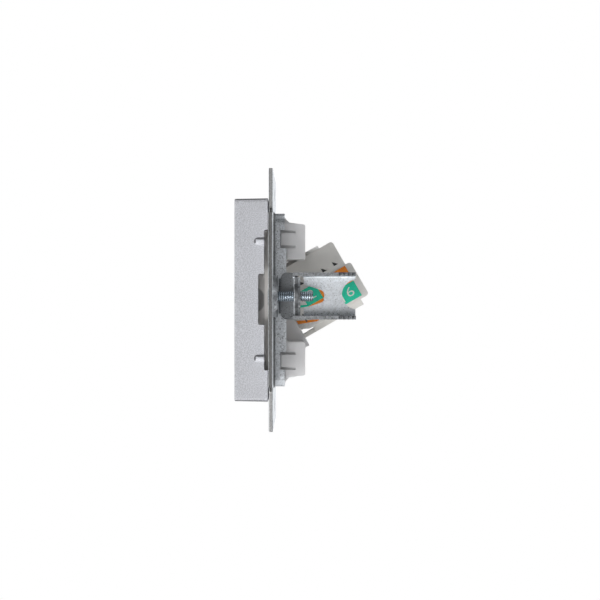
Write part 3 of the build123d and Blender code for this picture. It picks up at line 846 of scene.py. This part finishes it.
path = [(CONTACT_LEG, BOARD_TOP), (CONTACT_LEG, CONTACT_RUN), (CONTACT_TURN, CONTACT_RUN), CONTACT_END]
wire_path = bpy.data.meshes.new("wire_path")
wire_path.from_pydata([in_jack(*point) for point in path], [(0, 1), (1, 2), (2, 3)], [])
print("path of", len(path), "points")

# %% Eight contact wires


def wire_tree():
    """Rounds a path, gives it a round section and repeats it along X."""
    tree, given = geometry_tree(
        "contact_wires", Count="Int", Pitch="Float", Radius="Float", Bend="Float", Finish="Material"
    )
    curve = node(tree, "GeometryNodeMeshToCurve", Mesh=given["Geometry"]).outputs["Curve"]
    rounded = node(tree, "GeometryNodeFilletCurve", Curve=curve, Radius=given["Bend"])
    rounded.mode = "POLY"
    rounded.inputs["Count"].default_value = BEND_STEPS
    section = node(tree, "GeometryNodeCurvePrimitiveCircle", Resolution=WIRE_SIDES, Radius=given["Radius"])
    wire = node(
        tree, "GeometryNodeCurveToMesh", Curve=rounded.outputs["Curve"],
        Profile_Curve=section.outputs["Curve"], Fill_Caps=True,
    )
    steps = maths(tree, "SUBTRACT", given["Count"], 1.0)
    half_width = maths(tree, "MULTIPLY", maths(tree, "MULTIPLY", steps, given["Pitch"]), -0.5)
    first = node(tree, "ShaderNodeCombineXYZ", X=half_width).outputs["Vector"]
    step = node(tree, "ShaderNodeCombineXYZ", X=given["Pitch"]).outputs["Vector"]
    row = node(tree, "GeometryNodeMeshLine", Count=given["Count"], Start_Location=first, Offset=step)
    wires = node(
        tree, "GeometryNodeInstanceOnPoints", Points=row.outputs["Mesh"], Instance=wire.outputs["Mesh"]
    )
    end_tree(tree, wires.outputs["Instances"], given["Finish"])
    return tree


wires = grown(
    "contact_wires", wire_tree(), wire_path,
    Count=CONTACT_COUNT, Pitch=CONTACT_PITCH, Radius=WIRE_RADIUS, Bend=WIRE_BEND, Finish=contact_gold,
)
wire_nodes = [f"contact_wire_{number}" for number in range(1, CONTACT_COUNT + 1)]
finished_piece(wires, "socket", "contact_gold", *wire_nodes)

# %% [markdown]
# ## Claw screws
#
# The CAD screw is a plain rod. Its head is kept, and the rod gives way to one with an M3 thread. The
# tree takes a fine cylinder and pulls each point inward by a wave that climbs one pitch in each turn.
# The wave needs only the height and the angle of a point, and the last turns run out to a blunt end.

# %% Thread tree
THREAD_PITCH = 0.5 * MM
RUN_OUT = 0.7 * MM
STEPS_PER_TURN = 12
ROD_SIDES = 48
CREST_END = 0.08         # where the crest ends and the root starts,
ROOT_START = 0.42        # over the pitch


def thread_tree():
    """A threaded rod along Z, about the origin."""
    tree, given = geometry_tree(
        "screw_thread", Length="Float", Radius="Float", Depth="Float", Pitch="Float", Run_Out="Float",
        Steps="Int", Finish="Material",
    )
    rod = node(
        tree, "GeometryNodeMeshCylinder", Vertices=ROD_SIDES, Side_Segments=given["Steps"],
        Radius=given["Radius"], Depth=given["Length"],
    )
    spot = node(tree, "GeometryNodeInputPosition").outputs["Position"]
    x, y, z = node(tree, "ShaderNodeSeparateXYZ", Vector=spot).outputs
    turn = maths(tree, "DIVIDE", maths(tree, "ARCTAN2", y, x), math.tau)
    climb = maths(tree, "SUBTRACT", maths(tree, "DIVIDE", z, given["Pitch"]), turn)
    wave = maths(tree, "PINGPONG", climb, 0.5)
    flank = fade(tree, wave, CREST_END, ROOT_START, 0.0, 1.0)
    half_length = maths(tree, "MULTIPLY", given["Length"], 0.5)
    from_end = maths(tree, "SUBTRACT", half_length, z)
    end_share = maths(tree, "DIVIDE", from_end, given["Run_Out"])
    blunt = fade(tree, end_share, 0.0, 1.0, 1.0, 0.0)
    cut = maths(tree, "MULTIPLY", maths(tree, "MAXIMUM", flank, blunt), given["Depth"])
    shrink = maths(tree, "SUBTRACT", 1.0, maths(tree, "DIVIDE", cut, given["Radius"]))
    inner_x = maths(tree, "MULTIPLY", x, shrink)
    inner_y = maths(tree, "MULTIPLY", y, shrink)
    moved = node(tree, "ShaderNodeCombineXYZ", X=inner_x, Y=inner_y, Z=z)
    threaded = node(
        tree, "GeometryNodeSetPosition", Geometry=rod.outputs["Mesh"], Position=moved.outputs["Vector"]
    )
    end_tree(tree, threaded.outputs["Geometry"], given["Finish"])
    return tree


threads = thread_tree()
print("thread tree has", len(threads.nodes), "nodes")

# %% Claw screws
HEAD_HEIGHT = 1.5 * MM
HEAD_OVERLAP = 0.3 * MM


def claw_screw(side):
    """The CAD head of a screw, joined to a threaded rod."""
    low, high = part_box(f"claw_screw_{side}")
    under_head = low.y + HEAD_HEIGHT
    shape = softened(f"claw_screw_{side}", 0.06 * MM)
    everything = shape.verts[:] + shape.edges[:] + shape.faces[:]
    sliced = bmesh.ops.bisect_plane(
        shape, geom=everything, plane_co=(0, under_head + MERGE, 0), plane_no=(0, 1, 0), clear_outer=True
    )
    rim = [part for part in sliced["geom_cut"] if isinstance(part, bmesh.types.BMEdge)]
    bmesh.ops.contextual_create(shape, geom=rim)
    start = under_head - HEAD_OVERLAP
    length = high.y - start
    rod = grown(
        "threaded_rod", threads, bpy.data.meshes.new("no_mesh"),
        Length=length, Radius=THREAD_RADIUS, Depth=THREAD_DEPTH, Pitch=THREAD_PITCH, Run_Out=RUN_OUT,
        Steps=round(STEPS_PER_TURN * length / THREAD_PITCH), Finish=screw_zinc,
    )
    axis = Matrix.Translation(((low.x + high.x) / 2, start + length / 2, (low.z + high.z) / 2))
    rod.transform(axis @ Matrix.Rotation(math.radians(-90), 4, "X"))
    shape.from_mesh(rod)
    for face in shape.faces:
        face.material_index = 0
    return as_mesh(f"screw_{side}", shape, [screw_zinc])


for side in ("right", "left"):
    finished_piece(claw_screw(side), f"claw_screw_{side}", "screw_steel", f"claw_screw_{side}")

# %% [markdown]
# ## Labels
#
# A printed film on each side of the jack tells which core goes where. Its fields are plain, or have
# a slanting band for a striped core, with the terminal's number on each, white on colour and black on
# white. The two rows stand for the two usual orders. The far side can't be seen in the photograph, and
# carries the other two pairs.

# %% Inks
INK_MOTTLE = 0.5 * MM
INK_RELIEF = 0.001 * MM


def ink(name, colour):
    """Flat print with a slight mottle."""
    finish, tree, shader = start_finish(name, roughness=0.45)
    mottle = grain(tree, INK_MOTTLE, detail=3.0)
    dark = tuple(0.85 * part for part in colour)
    use(tree, shader, ramp(tree, mottle, [(0.35, dark), (0.65, colour)]), mottle, INK_RELIEF)
    return finish


WHITE, GREEN, ORANGE, BLUE, BROWN, BLACK = range(6)
inks = [
    ink("ink_white", (0.78, 0.77, 0.74)),
    ink("ink_green", (0.004, 0.66, 0.41)),
    ink("ink_orange", (0.94, 0.26, 0.004)),
    ink("ink_blue", (0.02, 0.12, 0.42)),
    ink("ink_brown", (0.16, 0.06, 0.025)),
    ink("ink_black", (0.05, 0.05, 0.05)),
]
print("made", len(inks), "inks")

# %% Fields of a label
PRINT_LIFT = 0.008 * MM
DIGIT_LIFT = 0.016 * MM
DIGIT_HEIGHT = 2.65 * MM
DIGIT_WIDENED = 1.3
CAPITAL_SHARE = 0.69     # height of a digit over the size of its font
THINNER = 0.03 * MM      # taken off each side of a digit's strokes
BAND_LOW = 0.39          # a band's lower and upper edge at the left, and its upper edge at the right,
BAND_HIGH = 0.62         # over the height of its field
BAND_END = 0.12

# A field is (number, inks), with one ink each for its lower left corner, the band above it and the rest.
# Rows run along the label as it is read, the upper row first.
near_rows = [
    [("1", (WHITE, GREEN, WHITE)), ("2", [GREEN] * 3), ("3", (ORANGE, ORANGE, WHITE)), ("6", [ORANGE] * 3)],
    [("1", (WHITE, ORANGE, WHITE)), ("2", [ORANGE] * 3), ("3", (WHITE, GREEN, WHITE)), ("6", [GREEN] * 3)],
]
far_row = [
    ("8", [BROWN] * 3), ("7", (WHITE, BROWN, WHITE)), ("4", [BLUE] * 3), ("5", (WHITE, BLUE, WHITE)),
]


def digit(number):
    """A digit as a flat mesh about the origin."""
    words = bpy.data.curves.new("digit", "FONT")
    words.body = number
    words.size = DIGIT_HEIGHT / CAPITAL_SHARE
    words.offset = -THINNER
    words.align_x = "CENTER"
    words.align_y = "CENTER"
    holder = bpy.data.objects.new("digit", words)
    scene.collection.objects.link(holder)
    mesh = bpy.data.meshes.new_from_object(holder.evaluated_get(bpy.context.evaluated_depsgraph_get()))
    bpy.data.objects.remove(holder)
    return mesh


def patch(shape, points, level, colour):
    """A flat patch of ink at that level."""
    face = shape.faces.new([shape.verts.new((x, y, level)) for x, y in points])
    face.material_index = colour


def print_field(shape, left, low, width, height, field):
    """One field: its lower left corner, the band above it, the rest, and a digit that stands out."""
    number, (corner, band, rest) = field
    right, top = left + width, low + height
    under = [(left, low + BAND_LOW * height), (right, low)]
    over = [(right, low + BAND_END * height), (left, low + BAND_HIGH * height)]
    patch(shape, [(left, low), under[1], under[0]], PRINT_LIFT, corner)
    patch(shape, under + over, PRINT_LIFT, band)
    patch(shape, [over[1], over[0], (right, top), (left, top)], PRINT_LIFT, rest)
    letter = digit(number)
    middle = Matrix.Translation((left + width / 2, low + height / 2, DIGIT_LIFT))
    letter.transform(middle @ Matrix.Scale(DIGIT_WIDENED, 4, (1, 0, 0)))
    known = len(shape.faces)
    shape.from_mesh(letter)
    shape.faces.ensure_lookup_table()
    for face in shape.faces[known:]:
        face.material_index = BLACK if rest == WHITE else WHITE


print("label recipe ready")

# %% Two labels


def wiring_label(side, way, rows):
    """The film of the CAD node with its print, on the right (way 1) or the left (way -1)."""
    read_along = Vector((0, way * math.cos(JACK_TILT), way * math.sin(JACK_TILT)))
    read_up = Vector((0, -math.sin(JACK_TILT), math.cos(JACK_TILT)))
    facing = Matrix((read_along, read_up, (way, 0, 0))).transposed().to_4x4()
    to_label = facing.inverted()
    shape = bmesh.new()
    shape.from_mesh(nodes[f"wiring_label_{side}"].data)
    shape.transform(to_label)
    for face in shape.faces:
        face.material_index = WHITE
    spots = [vert.co.copy() for vert in shape.verts]
    left, low, top = min(s.x for s in spots), min(s.y for s in spots), max(s.z for s in spots)
    width = (max(s.x for s in spots) - left) / len(rows[0])
    height = (max(s.y for s in spots) - low) / len(rows)
    shape.transform(Matrix.Translation((0, 0, -top)))
    for row, fields in enumerate(reversed(rows)):
        for column, field in enumerate(fields):
            print_field(shape, left + column * width, low + row * height, width, height, field)
    shape.transform(facing @ Matrix.Translation((0, 0, top)))
    return as_mesh(f"label_{side}", shape, inks)


for side, way, rows in (("right", 1, near_rows), ("left", -1, [far_row, far_row])):
    finished_piece(wiring_label(side, way, rows), "socket", "label_print", f"wiring_label_{side}")

# %% [markdown]
# ## Pieces that stay as the CAD gives them
#
# The combs, the board and the blades are hidden under the cap or deep in the port. Their nodes stay,
# and only get a finish.

# %% Finishes for the inner pieces
inner_finishes = {
    "contact_block": comb_plastic,
    "terminal_block_right": comb_plastic,
    "terminal_block_left": comb_plastic,
    "circuit_board": board_lacquer,
    "idc_blades_right": blade_tin,
    "idc_blades_left": blade_tin,
}
for name, finish in inner_finishes.items():
    nodes[name].data.materials.clear()
    nodes[name].data.materials.append(finish)
print("finished", len(inner_finishes), "inner pieces")
